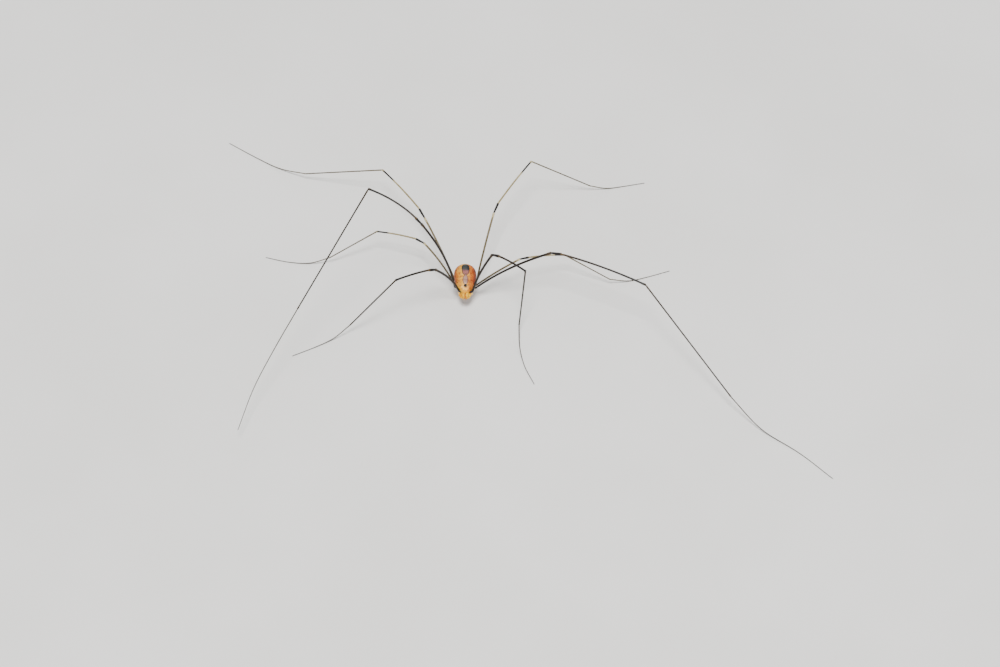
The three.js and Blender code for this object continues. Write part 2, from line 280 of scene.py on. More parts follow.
# On the left side: where each femur starts, and the inner end and outer rim of each coxa
HIPS = {1: (1.08, -1.9, 3.75), 2: (1.72, -0.85, 3.4), 3: (1.8, -0.3, 3.4), 4: (1.7, 0.45, 3.4)}
COXA_ROOTS = {1: (0.42, -1.5, 3.02), 2: (0.44, -0.9, 3.02), 3: (0.44, -0.3, 3.02), 4: (0.44, 0.3, 3.02)}
COXA_RIMS = {1: (1.02, -2.12, 3.42), 2: (1.45, -0.95, 3.3), 3: (1.6, -0.32, 3.3), 4: (1.52, 0.4, 3.3)}
STANCE_ASIDE = 0.12

# Heading round Z from +X and rise above level of each length of each leg, in degrees
POSE = {
    "right": {
        1: ((201, 206, 206, 196, 205, 208, 207), (60, 24, 5, -54)),
        2: ((158, 182, 205, 229, 234, 240, 249), (64, 58, 54, -45, -37, -30, -27)),
        3: ((133, 152, 165, 197, 183, 176, 168), (24, 5, -6, -30)),
        4: ((120, 119, 128, 165, 154, 150, 148), (23, 8, -1, -25)),
    },
    "left": {
        1: ((25, -22, -44, -95, -86, -77, -66), (71, 12, 16, -81)),
        2: ((2, -16, -23, -45, -37, -33, -42), (40, 12, 1, -26)),
        3: ((19, 18, 18, -10, 14, 19, 21), (31, -3, -15, -29)),
        4: ((75, 68, 57, 15, 13, 14, 14), (35, 15, 4, -41)),
    },
}
FIRST_TOE_DROP = 0.8
SOLID_TOE_AXIS = 0.1
BOWS = {"femur": 0.055, "patella": 0.0, "tibia": 0.035, "metatarsus": 0.0}
FEMUR_BOWS = {
    ("right", 2): 0.068,
    ("right", 3): 0.08,
    ("right", 4): 0.035,
    ("left", 3): 0.03,
    ("left", 4): 0.068,
}

# Girth along each length of a leg: share of the length, radius before its pair's thickness
THICKNESS = {1: 1.26, 2: 1.2, 3: 0.98, 4: 1.02}
GIRTHS = {
    "femur": [(0, 0.01), (0.006, 0.1), (0.03, 0.12), (0.15, 0.14), (0.6, 0.145), (0.93, 0.15),
              (0.965, 0.175), (0.985, 0.18), (0.996, 0.13), (1, 0.01)],
    "patella": [(0, 0.01), (0.03, 0.11), (0.12, 0.14), (0.5, 0.165), (0.8, 0.18), (0.93, 0.175),
                (0.985, 0.12), (1, 0.01)],
    "tibia": [(0, 0.01), (0.006, 0.1), (0.03, 0.13), (0.1, 0.125), (0.5, 0.12), (0.93, 0.125),
              (0.975, 0.15), (0.99, 0.145), (0.997, 0.1), (1, 0.01)],
    "metatarsus": [(0, 0.01), (0.005, 0.08), (0.02, 0.112), (0.06, 0.1), (0.3, 0.094), (0.7, 0.088),
                   (0.96, 0.086), (0.985, 0.1), (0.995, 0.07), (1, 0.01)],
}
TARSUS_RADII = (0.08, 0.05)
TARSOMERE_LENGTH = 0.3
TARSOMERE = [(0.0, 0.86), (0.2, 0.95), (0.72, 1.06), (0.94, 1.02)]
TARSUS_POINTS = 160
TARSUS_START = 0.001
TOE_TIP = [(0.998, 0.035), (1, 0.006)]
FALSE_JOINTS = {1: 3, 2: 6, 3: 2, 4: 4}
FALSE_JOINT_START = 0.35
FALSE_JOINT_SPAN = 0.55
FALSE_JOINT_RING = [(-0.004, 1.0), (-0.001, 1.12), (0.0, 0.84), (0.003, 1.0)]
SEGMENT_SEAT = 0.04
SEGMENT_REACH = 0.08

# Camera: aims at a point of the floor by the body, through a 100 mm lens
AIM_ASIDE = 5.62
AIM_AHEAD = -7.0
CAMERA_RISE = 55.0
CAMERA_TURN = -5.5
CAMERA_ROLL = 6.5
CAMERA_DISTANCE = 427.35
LENS = 100.0
SENSOR = 36.0

# Stage, in metres: the floor, and each lamp's place from the body, its size and its power
FLOOR_HALF_WIDTH = 1.5
LAMPS = {
    "key_light": ((-0.06, -0.24, 0.72), 0.16, 9.0),
    "fill_light": ((0.5, -0.1, 0.4), 0.4, 1.2),
    "rear_light": ((0.1, 0.55, 0.45), 0.4, 1.2),
}
SKY_COLOUR = (0.9, 0.93, 1.0, 1.0)
SKY_STRENGTH = 0.42

# How far light goes under a soft skin, in metres, and the share of it for red, green and blue
SOFT_REACH = 0.0003
SOFT_SHARES = (1.0, 0.5, 0.25)
NOISE_ROUGHNESS = 0.55


# Places and meshes

def body_origin():
    """The point of the floor that all sizes here are measured from, in the frame's metres."""
    middles = [(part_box(f"eye_{side}")[0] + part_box(f"eye_{side}")[1]) / 2 for side in SIDES]
    middle = (middles[0] + middles[1]) / 2
    return Vector((middle.x, middle.y - (MOUND_PLACE - EYE_FORWARD) * MM, 0.0))


ORIGIN = body_origin()


def in_frame(points):
    """Millimetres from the body's floor point to the frame's metres."""
    return np.asarray(points, float) * MM + np.array(ORIGIN)


def unit(vectors):
    """Vectors of length 1."""
    length = np.linalg.norm(vectors, axis=-1, keepdims=True)
    return vectors / np.maximum(length, 1e-12)


def bell(values, place, width):
    """A smooth hump of height 1 round a place."""
    return np.exp(-(((values - place) / width) ** 2))


def smooth_share(values, low, high):
    """0 below low, 1 above high, smooth between."""
    share = np.clip((values - low) / (high - low), 0, 1)
    return share * share * (3 - 2 * share)


def set_values(mesh, name, values):
    """A float or vector attribute on the points of a mesh."""
    values = np.asarray(values, np.float32)
    kind = "FLOAT_VECTOR" if values.ndim == 2 else "FLOAT"
    attribute = mesh.attributes.new(name, kind, "POINT")
    attribute.data.foreach_set("vector" if values.ndim == 2 else "value", values.ravel())


def values_of(mesh, name, size):
    """The values of a point attribute as rows of that size."""
    attribute = mesh.attributes[name]
    values = np.zeros(len(mesh.vertices) * size, np.float32)
    attribute.data.foreach_get("vector" if size == 3 else "value", values)
    return values.reshape(-1, size) if size > 1 else values


def places_of(mesh):
    """The places of a mesh's points, one row each."""
    places = np.zeros(len(mesh.vertices) * 3, np.float32)
    mesh.vertices.foreach_get("co", places)
    return places.reshape(-1, 3).astype(float)


def volume_of(mesh):
    """Signed volume of a closed mesh, negative where it is inside out."""
    mesh.calc_loop_triangles()
    corners = np.zeros(len(mesh.loop_triangles) * 3, np.int32)
    mesh.loop_triangles.foreach_get("vertices", corners)
    places = places_of(mesh)
    places = places - places.mean(axis=0)
    a, b, c = (places[corners.reshape(-1, 3)[:, i]] for i in range(3))
    return float(np.einsum("ij,ij->i", a, np.cross(b, c)).sum()) / 6


def added(name, data):
    """A new object of the scene that holds a mesh, a lamp or a camera."""
    made = bpy.data.objects.new(name, data)
    bpy.context.scene.collection.objects.link(made)
    return made


def finished(name, mesh, nodes=()):
    """A finished piece: smooth, faces outwards, riding on the root in place of its nodes."""
    if volume_of(mesh) < 0:
        mesh.flip_normals()
    mesh.name = name
    mesh.polygons.foreach_set("use_smooth", np.ones(len(mesh.polygons), bool))
    mesh.update()
    piece = added(name, mesh)
    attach(piece, "root")
    if nodes:
        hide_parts(*nodes)
    return piece


def joined(meshes):
    """One mesh from several that share their attributes and materials."""
    objects = [added(mesh.name, mesh) for mesh in meshes]
    with bpy.context.temp_override(active_object=objects[0], selected_editable_objects=objects):
        bpy.ops.object.join()
    mesh = objects[0].data
    bpy.data.objects.remove(objects[0])
    return mesh


# Nodes

def feed(tree, node, inputs):
    """Fills inputs of a node, by name or number, each with a link or a plain value."""
    for name, value in inputs.items():
        if isinstance(value, bpy.types.NodeSocket):
            tree.links.new(value, node.inputs[name])
        else:
            node.inputs[name].default_value = value


def linked(tree, kind, inputs, **settings):
    """The outputs of a new node with these settings and inputs."""
    node = tree.nodes.new(kind)
    for name, value in settings.items():
        setattr(node, name, value)
    feed(tree, node, inputs)
    return node.outputs


# Materials

def shade(code):
    """Linear colour from a hex code."""
    channels = [int(code[i:i + 2], 16) / 255 for i in (1, 3, 5)]
    return tuple(c / 12.92 if c < 0.04045 else ((c + 0.055) / 1.055) ** 2.4 for c in channels) + (1.0,)


class Finish:
    """A material made of nodes, with a short call for each kind of node."""

    def __init__(self, name, roughness=0.5, coat=0.0, coat_roughness=0.2, soft=0.0, specular=0.5):
        self.material = bpy.data.materials.new(name)
        self.material.use_nodes = True
        self.tree = self.material.node_tree
        self.tree.nodes.clear()
        self.surface = self.tree.nodes.new("ShaderNodeBsdfPrincipled")
        feed(self.tree, self.surface, {
            "Roughness": roughness,
            "Coat Weight": coat,
            "Coat Roughness": coat_roughness,
            "Specular IOR Level": specular,
            "Subsurface Weight": soft,
            "Subsurface Scale": SOFT_REACH,
            "Subsurface Radius": SOFT_SHARES,
        })
        linked(self.tree, "ShaderNodeOutputMaterial", {"Surface": self.surface.outputs["BSDF"]})
        place = linked(self.tree, "ShaderNodeTexCoord", {})["Object"]
        shift = linked(self.tree, "ShaderNodeMapping", {"Vector": place, "Location": -ORIGIN})
        self.place = shift["Vector"]

    def measure(self, name):
        """A float attribute of the piece."""
        return linked(self.tree, "ShaderNodeAttribute", {}, attribute_name=name)["Fac"]

    def noise(self, grain, detail=3.0):
        """Cloudy noise from 0 to 1, with grains of about that many millimetres."""
        return linked(self.tree, "ShaderNodeTexNoise", {
            "Vector": self.place,
            "Scale": 1 / (grain * MM),
            "Detail": detail,
            "Roughness": NOISE_ROUGHNESS,
        })["Fac"]

    def cells(self, grain):
        """Distance from the middles of scattered cells of about that many millimetres."""
        inputs = {"Vector": self.place, "Scale": 1 / (grain * MM)}
        return linked(self.tree, "ShaderNodeTexVoronoi", inputs)["Distance"]

    def sum(self, a, b, how="ADD"):
        """One of the sums of a Math node."""
        return linked(self.tree, "ShaderNodeMath", {0: a, 1: b}, operation=how)[0]

    def step(self, value, low, high, start=0.0, end=1.0, ease="SMOOTHSTEP"):
        """value brought from low..high to start..end and held there, smoothly unless ease says not."""
        return linked(self.tree, "ShaderNodeMapRange", {
            "Value": value,
            "From Min": low,
            "From Max": high,
            "To Min": start,
            "To Max": end,
        }, interpolation_type=ease)["Result"]

    def shaken(self, value, amount, grain):
        """A value with noise of that amount either way."""
        return self.sum(value, self.step(self.noise(grain), 0.25, 0.75, -amount, amount))

    def colours(self, value, stops, low=0.0, high=1.0):
        """A run of colours at places of a value that goes from low to high."""
        ramp = self.tree.nodes.new("ShaderNodeValToRGB")
        feed(self.tree, ramp, {"Fac": self.step(value, low, high, ease="LINEAR")})
        elements = ramp.color_ramp.elements
        while len(elements) > 1:
            elements.remove(elements[-1])
        elements[0].position = (stops[0][0] - low) / (high - low)
        elements[0].color = shade(stops[0][1])
        for at, code in stops[1:]:
            elements.new((at - low) / (high - low)).color = shade(code)
        return ramp.outputs["Color"]

    def blend(self, share, under, over, how="MIX"):
        """One colour laid over another."""
        under, over = (shade(c) if isinstance(c, str) else c for c in (under, over))
        inputs = {0: share, 6: under, 7: over}
        return linked(self.tree, "ShaderNodeMix", inputs, data_type="RGBA", blend_type=how)[2]

    def clouded(self, under, over, grain, low, high, most=1.0, detail=3.0, how="MIX"):
        """One colour laid over another in clouds of that grain, at most that strong."""
        return self.blend(self.step(self.noise(grain, detail), low, high, 0.0, most), under, over, how)

    def pitted(self, pits, grain, reach=0.6):
        """Height of a skin with pits of one size and noise of another."""
        return self.sum(self.step(self.cells(pits), 0.0, reach, 1.0, 0.0), self.noise(grain))

    def sheen(self, grain, low, high):
        """A roughness that wanders between two values."""
        return self.step(self.noise(grain), 0.3, 0.7, low, high)

    def finish(self, colour, height, depth, roughness):
        """Sets the colour and a bump of that depth in millimetres, and hands back the material."""
        bump = {"Strength": 1.0, "Distance": depth * MM, "Height": height}
        feed(self.tree, self.surface, {
            "Normal": linked(self.tree, "ShaderNodeBump", bump)["Normal"],
            "Base Color": colour,
            "Roughness": roughness,
        })
        return self.material


def body_finish():
    """Orange body: tan back, red-orange flanks, a dark-edged band whose pale mauve-pink middle is painted
    highlight, and a yellow face.
    """
    f = Finish("body_shell", roughness=0.5, coat=0.06, coat_roughness=0.35, soft=0.06, specular=0.3)
    flank = f.shaken(f.measure("flank"), 0.05, 0.5)
    ahead = f.shaken(f.measure("ahead"), 0.1, 0.3)
    band = f.shaken(f.measure("band"), 0.04, 0.14)
    skin = f.colours(flank, [
        (0.0, "#dca83e"), (0.16, "#d89a30"), (0.25, "#cc7e1a"), (0.34, "#b45e0e"), (0.43, "#9a4410"),
        (0.55, "#802e08"), (0.64, "#bc7e34"), (1.0, "#c4944c"),
    ])
    face = f.colours(flank, [
        (0.0, "#e8ac28"), (0.2, "#e6a01c"), (0.34, "#e0aa2a"), (0.5, "#deb030"), (1.0, "#c49a4c"),
    ])
    skin = f.blend(f.step(ahead, -1.9, -0.7, 1.0, 0.0), skin, face)
    cream = f.step(ahead, -1.45, -1.7, 0.0, 1.0)
    cream = f.sum(cream, f.step(ahead, -2.42, -2.1), "MULTIPLY")
    cream = f.sum(cream, f.step(flank, 0.1, 0.24, 0.85, 0.0), "MULTIPLY")
    skin = f.blend(cream, skin, "#fcc464")
    skin = f.clouded(skin, "#b0600e", 0.34, 0.5, 0.64, 0.55, 4.0, "MULTIPLY")
    aside = f.shaken(f.measure("aside"), 0.15, 0.4)
    skin = f.blend(f.step(aside, -0.1, 0.8), skin, "#d8a86a", "MULTIPLY")
    skin = f.blend(f.step(aside, 0.8, 1.5), skin, "#d6b286", "MULTIPLY")
    skin = f.clouded(skin, "#b06430", 0.7, 0.52, 0.68, 0.4, 2.0, "MULTIPLY")
    skin = f.clouded(skin, "#f6c66a", 0.09, 0.56, 0.72, 0.5)
    # Pale specks; the two either side of the waist are painted highlights
    speck_and_highlight = f.shaken(f.measure("pale_speck_and_highlight"), 0.15, 0.09)
    skin = f.blend(f.step(speck_and_highlight, 0.3, 0.9, 0.0, 0.5), skin, "#f6ca7c")
    # Dark spots; the two large ones at the sides are painted shade
    spot_and_side_shade = f.shaken(f.measure("dark_spot_and_side_shade"), 0.2, 0.12)
    skin = f.blend(f.step(spot_and_side_shade, 0.3, 0.8, 0.0, 0.75), skin, "#4c2018")
    # The band's own colour is dark slate. The pale grey-pink and mauve along its front and middle are
    # painted highlight.
    middle = f.colours(ahead, [
        (-1.65, "#dcb48c"), (-1.4, "#d4ae94"), (-1.2, "#a8846e"), (-0.8, "#9c7868"), (-0.3, "#aa8474"),
        (-0.02, "#946e60"), (0.08, "#744640"), (0.3, "#905850"), (0.6, "#985c56"), (0.85, "#7a4c4c"),
        (1.0, "#4a4444"), (1.15, "#3a3c3a"), (1.6, "#2c302e"), (2.0, "#363836"), (2.3, "#262624"),
    ], -1.8, 2.4)
    edge = f.colours(ahead, [
        (-1.7, "#b07434"), (-1.2, "#803814"), (-0.4, "#84401a"), (-0.05, "#6a3018"), (0.05, "#3a1c16"),
        (0.4, "#281618"), (1.0, "#0e0d10"), (2.3, "#0c0b0d"),
    ], -1.8, 2.4)
    left = f.step(f.measure("aside"), 0.1, 0.4)
    middle = f.blend(f.sum(left, f.step(ahead, -0.1, -0.4, 0.0, 0.8), "MULTIPLY"), middle, "#7c3420")
    middle = f.blend(f.sum(left, f.step(ahead, 0.9, 1.1, 0.0, 0.8), "MULTIPLY"), middle, "#0e1010")
    mottled_band_and_highlight = f.clouded(middle, "#4a4448", 0.12, 0.42, 0.7, 0.5, how="MULTIPLY")
    skin = f.blend(f.step(band, -0.08, -0.02), skin, edge)
    skin = f.blend(f.step(band, 0.02, 0.09), skin, mottled_band_and_highlight)
    # Darker rust in the grooves across the back and belly and in the flank's fold: painted shade
    grooves = f.measure("groove")
    skin = f.blend(f.step(grooves, 0.1, 0.9, 0.0, 0.45), skin, "#7a3410", "MULTIPLY")
    return f.finish(skin, f.pitted(0.055, 0.12), 0.009, f.sheen(0.2, 0.42, 0.62))


def leg_finish(name, stops):
    """Leg: colours that follow its length from hip (0) to tip (5), with a fine grain."""
    f = Finish(name, roughness=0.45, coat=0.05, coat_roughness=0.3, specular=0.3)
    along = f.shaken(f.measure("along"), 0.02, 0.4)
    tone = f.colours(along, stops, 0.0, 5.0)
    tone = f.clouded(tone, "#5c4a30", 0.25, 0.35, 0.7, 0.45, how="MULTIPLY")
    return f.finish(tone, f.pitted(0.07, 0.05), 0.006, f.sheen(0.3, 0.34, 0.52))


def dark_leg_finish():
    """First and second legs: brown-black, a little paler at the joints."""
    return leg_finish("dark_leg", [
        (0.0, "#0f0c0a"), (0.1, "#17110c"), (0.6, "#21180f"), (0.93, "#1d150e"), (0.97, "#4a3822"),
        (1.0, "#1a130e"), (1.85, "#17110c"), (1.98, "#6a5434"), (2.06, "#3c2e1c"), (2.2, "#281d12"),
        (2.7, "#19120c"), (2.97, "#120e0a"), (3.02, "#3c2f1c"), (3.1, "#2c2216"), (3.9, "#261c12"),
        (4.0, "#382c1a"), (4.5, "#2c2216"), (5.0, "#1e170f"),
    ])


def olive_leg_finish():
    """Third and fourth legs: olive brown with black patellas, pale rings and dark tibia ends."""
    return leg_finish("olive_leg", [
        (0.0, "#2b2214"), (0.08, "#4a3d20"), (0.5, "#5b4d2a"), (0.9, "#6a5a34"), (0.94, "#b8a878"),
        (0.985, "#c9bb92"), (1.0, "#14100c"), (1.1, "#110d0a"), (1.9, "#130f0b"), (1.99, "#a89868"),
        (2.06, "#8a7a4a"), (2.55, "#96865a"), (2.66, "#b9ab82"), (2.72, "#1a140e"), (2.95, "#120e0a"),
        (2.99, "#b9a97c"), (3.04, "#5c4e2c"), (3.9, "#4a3f26"), (4.0, "#54482a"), (4.5, "#3e3420"),
        (5.0, "#281f15"),
    ])


def coxa_finish(name, knob):
    """Hips: yellow tan with rust blotches, a pale rim, and a darker trochanter beyond it."""
    f = Finish(name, roughness=0.5, coat=0.1, soft=0.1)
    tone = f.clouded("#dea63c", "#a8540f", 0.32, 0.42, 0.62, detail=4.0)
    tone = f.blend(f.step(f.measure("beyond_collar"), -1.0, -0.4, 0.5, 0.0), tone, "#8a4210", "MULTIPLY")
    rim = f.shaken(f.measure("beyond_collar"), 0.012, 0.2)
    tone = f.blend(f.step(rim, -0.12, -0.07, 0.0, 0.6), tone, "#ecc878")
    tone = f.blend(f.step(f.measure("beyond_collar"), 0.0, 0.03), tone, knob)
    return f.finish(tone, f.pitted(0.07, 0.1, 0.5), 0.007, f.sheen(0.2, 0.42, 0.6))


def face_finish():
    """Jaws and feelers: yellow with orange blotches, red-brown towards the tips."""
    f = Finish("face_shell", roughness=0.5, coat=0.03, soft=0.04, specular=0.28)
    tone = f.clouded("#e4b00a", "#cc8406", 0.3, 0.42, 0.62, detail=4.0)
    tone = f.clouded(tone, "#eecc5c", 0.1, 0.58, 0.7, 0.4)
    tone = f.blend(f.step(f.measure("along"), 0.42, 0.62, 0.0, 0.4), tone, "#c2560a")
    # Redder towards the midline, on the inner faces where the jaws meet: painted shade in the gap between
    # them
    tone = f.blend(f.step(f.measure("aside"), 0.16, 0.02, 0.0, 0.6), tone, "#b23a08")
    tone = f.blend(f.step(f.measure("along"), 0.82, 1.0, 0.0, 0.9), tone, "#4a2410")
    return f.finish(tone, f.pitted(0.06, 0.1), 0.004, f.sheen(0.2, 0.36, 0.55))


def mound_finish():
    """Eye mound: ochre foot, brown sides and a black-brown crown."""
    f = Finish("mound_shell", roughness=0.42, coat=0.15)
    crown = f.clouded("#100d0b", "#22180f", 0.12, 0.4, 0.65)
    rise = f.shaken(f.measure("along"), 0.05, 0.12)
    tone = f.blend(f.step(rise, 0.26, 0.42), "#e2a84c", "#8a5a2a")
    tone = f.blend(f.step(rise, 0.42, 0.54), tone, crown)
    return f.finish(tone, f.pitted(0.05, 0.08), 0.01, f.sheen(0.1, 0.3, 0.5))


def eye_finish():
    """Eyes: polished black with a brown depth."""
    f = Finish("eye_lens", roughness=0.06, coat=1.0, coat_roughness=0.03)
    tone = f.clouded("#050404", "#150c08", 0.08, 0.4, 0.6)
    return f.finish(tone, f.noise(0.1), 0.001, f.sheen(0.05, 0.05, 0.09))


def horn_finish():
    """Toe claws: dark brown horn."""
    f = Finish("dark_horn", roughness=0.35, coat=0.3)
    tone = f.clouded("#1d140e", "#3b2a1a", 0.1, 0.4, 0.65)
    return f.finish(tone, f.noise(0.04), 0.003, f.sheen(0.1, 0.3, 0.45))


def floor_finish():
    """Pale matt studio floor."""
    f = Finish("studio_floor", roughness=0.85, specular=0.2)
    tone = f.clouded("#dcdad5", "#e2e0dc", 40.0, 0.3, 0.7)
    return f.finish(tone, f.noise(1.5), 0.02, f.sheen(8.0, 0.8, 0.92))


# Geometry Nodes trees

def new_tree(name, inputs):
    """A tree, the sockets of its inputs, one for each named size, and its end's sockets."""
    tree = bpy.data.node_groups.new(name, "GeometryNodeTree")
    tree.interface.new_socket("Geometry", in_out="INPUT", socket_type="NodeSocketGeometry")
    tree.interface.new_socket("Geometry", in_out="OUTPUT", socket_type="NodeSocketGeometry")
    for label, kind in inputs:
        tree.interface.new_socket(label, in_out="INPUT", socket_type="NodeSocket" + kind)
    return tree, tree.nodes.new("NodeGroupInput").outputs, tree.nodes.new("NodeGroupOutput").inputs


def named(tree, name, kind="FLOAT"):
    """The field of a named attribute."""
    return linked(tree, "GeometryNodeInputNamedAttribute", {"Name": name}, data_type=kind)["Attribute"]


def clad(tree, geometry, sizes, out):
    """Ends a tree with real geometry in the finish that it is given."""
    whole = linked(tree, "GeometryNodeRealizeInstances", {"Geometry": geometry})["Geometry"]
    dressed = linked(tree, "GeometryNodeSetMaterial", {"Geometry": whole, "Material": sizes["Finish"]})
    tree.links.new(dressed["Geometry"], out["Geometry"])


def limb_tree():
    """Round limbs along their axes, as thick at each point as its girth says."""
    tree, sizes, out = new_tree("limb_along_its_axis", [("Sides", "Int"), ("Finish", "Material")])
    axis = linked(tree, "GeometryNodeMeshToCurve", {"Mesh": sizes["Geometry"]})
    round_ring = {"Resolution": sizes["Sides"], "Radius": 1.0}
    ring = linked(tree, "GeometryNodeCurvePrimitiveCircle", round_ring)
    skin = linked(tree, "GeometryNodeCurveToMesh", {
        "Curve": axis["Curve"],
        "Profile Curve": ring["Curve"],
        "Scale": named(tree, "girth"),
        "Fill Caps": True,
    })
    clad(tree, skin["Mesh"], sizes, out)
    return tree


def bristle_tree():
    """Bristles that stand on a skin and lean the way it says, each a thin three-sided spike."""
    tree, sizes, out = new_tree("bristles_on_skin", [
        ("Number per square metre", "Float"), ("Length", "Float"), ("Thickness", "Float"),
        ("Lean", "Float"), ("Seed", "Int"), ("Finish", "Material"),
    ])
    number, length, thickness = (sizes[i] for i in (1, 2, 3))
    often = linked(tree, "ShaderNodeMath", {0: number, 1: named(tree, "downy")}, operation="MULTIPLY")
    roots = linked(tree, "GeometryNodeDistributePointsOnFaces", {
        "Mesh": sizes["Geometry"],
        "Density": often[0],
        "Seed": sizes["Seed"],
    }, distribute_method="RANDOM")
    leaning = linked(tree, "ShaderNodeVectorMath", {
        0: named(tree, "lie", "FLOAT_VECTOR"),
        "Scale": sizes["Lean"],
    }, operation="SCALE")
    stray = linked(tree, "FunctionNodeRandomValue", {
        0: (-BRISTLE_STRAY,) * 3,
        1: (BRISTLE_STRAY,) * 3,
        "Seed": sizes["Seed"],
    }, data_type="FLOAT_VECTOR")
    way = roots["Normal"]
    for push in (leaning[0], stray[0]):
        way = linked(tree, "ShaderNodeVectorMath", {0: way, 1: push}, operation="ADD")[0]
    turn = linked(tree, "FunctionNodeAlignRotationToVector", {"Vector": way}, axis="Z")
    least, most = BRISTLE_LENGTHS
    spread = linked(tree, "FunctionNodeRandomValue", {2: least, 3: most, "Seed": sizes["Seed"]})
    long = linked(tree, "ShaderNodeMath", {0: length, 1: spread[1]}, operation="MULTIPLY")
    scale = linked(tree, "ShaderNodeCombineXYZ", {"X": thickness, "Y": thickness, "Z": long[0]})
    spike = linked(tree, "GeometryNodeMeshCone", {
        "Vertices": 3, "Side Segments": 1, "Radius Top": 0.0, "Radius Bottom": 0.5, "Depth": 1.0,
    })
    set_out = linked(tree, "GeometryNodeInstanceOnPoints", {
        "Points": roots["Points"],
        "Instance": spike["Mesh"],
        "Rotation": turn["Rotation"],
        "Scale": scale["Vector"],
    })
    clad(tree, set_out["Instances"], sizes, out)
    return tree


def grown(mesh, tree, sizes):
    """The plain mesh that a tree makes from another mesh, with the sizes it is given."""
    carrier = added("carrier", mesh)
    modifier = carrier.modifiers.new("tree", "NODES")
    modifier.node_group = tree
    for item in tree.interface.items_tree:
        if item.in_out == "INPUT" and item.name in sizes:
            modifier[item.identifier] = sizes[item.name]
    bpy.context.view_layer.update()
    graph = bpy.context.evaluated_depsgraph_get()
    made = bpy.data.meshes.new_from_object(carrier.evaluated_get(graph))
    bpy.data.objects.remove(carrier)
    return made


LIMB_TREE = limb_tree()
BRISTLE_TREE = bristle_tree()


def limb(runs, sides, finish):
    """One mesh of round limbs. Each run is (points, girths, values of along)."""
    points = np.concatenate([run[0] for run in runs])
    edges = []
    lies = []
    start = 0
    for run in runs:
        count = len(run[0])
        edges += [(start + i, start + i + 1) for i in range(count - 1)]
        lies.append(unit(np.gradient(np.asarray(run[0], float), axis=0)))
        start += count
    axis = bpy.data.meshes.new("axis")
    axis.from_pydata(in_frame(points).tolist(), edges, [])
    set_values(axis, "girth", np.concatenate([run[1] for run in runs]) * MM)
    set_values(axis, "along", np.concatenate([run[2] for run in runs]))
    set_values(axis, "lie", np.concatenate(lies))
    return grown(axis, LIMB_TREE, {"Sides": sides, "Finish": finish})


def ringed(mesh, sides):
    """Marks each point of a limb with its place round the limb."""
    turn = 2 * math.pi * (np.arange(len(mesh.vertices)) % sides) / sides
    set_values(mesh, "around", np.stack([np.cos(turn), np.sin(turn), np.zeros_like(turn)], axis=1))


def bristles(name, skin, sizes, finish, along_span):
    """Bristles over a skin, each on its root's own place of the unwrapped skin."""
    number, length, thickness, lean = sizes
    coat = grown(skin.copy(), BRISTLE_TREE, {
        "Number per square metre": number / MM ** 2,
        "Length": length * MM,
        "Thickness": thickness * MM,
        "Lean": lean,
        "Seed": BRISTLE_SEED,
        "Finish": finish,
    })
    around = values_of(coat, "around", 3)
    turn = np.arctan2(around[:, 1], around[:, 0]) / (2 * math.pi) + 0.5
    along = values_of(coat, "along", 1) / along_span
    # Each spike has four corners: three at its foot and its tip
    corner = np.arange(len(coat.vertices)) % 4
    across = np.array([0.0, 1.0, 0.5, 0.5])[corner]
    upward = np.array([0.0, 0.0, 1.0, 0.4])[corner]
    spots = np.stack([along + UNWRAP_PATCH * across, turn + UNWRAP_PATCH * upward], axis=1)
    loops = np.zeros(len(coat.loops), np.int32)
    coat.loops.foreach_get("vertex_index", loops)
    unwrap = coat.uv_layers.new(name="OFBake")
    unwrap.data.foreach_set("uv", spots[loops].astype(np.float32).ravel())
    places = places_of(coat)
    places[:, 2] = np.maximum(places[:, 2], 0.0)
    coat.vertices.foreach_set("co", places.ravel())
    return finished(name, coat)


# Body

def body_section(share):
    """Half width, rise and depth of the body where share runs from -1 at the head to 1 behind."""
    wide = np.sqrt(np.maximum(1 - np.abs(share) ** BLUNT_WIDTH, 0))
    tall = np.sqrt(np.maximum(1 - np.abs(share) ** BLUNT_HEIGHT, 0))
    deep = CHEST_DEPTH + (BELLY_DEPTH - CHEST_DEPTH) * smooth_share(share, *CHEST_ENDS)
    return (
        BODY_HALF_WIDTH * wide * (1 + WIDER_BEHIND * share),
        BODY_RISE * tall * (1 + TALLER_BEHIND * share),
        tall * deep,
    )


def body_share(along):
    """A place along the body as a share, from -1 at the head to 1 behind."""
    return (along - (BODY_FRONT + BODY_REAR) / 2) / ((BODY_REAR - BODY_FRONT) / 2)


def back_height(along):
    """Height of the back's midline above the floor."""
    return BODY_MIDDLE + float(body_section(np.array(body_share(along)))[1])


def grooved(out, groove, zone, along, grooves):
    """A skin's height and grooves after cutting more grooves across one zone of it."""
    for place, depth in grooves:
        cut = zone * bell(along, place, GROOVE_WIDTH)
        out = out - depth * cut
        groove = np.maximum(groove, cut * depth / DEEPEST_GROOVE)
    return out, groove


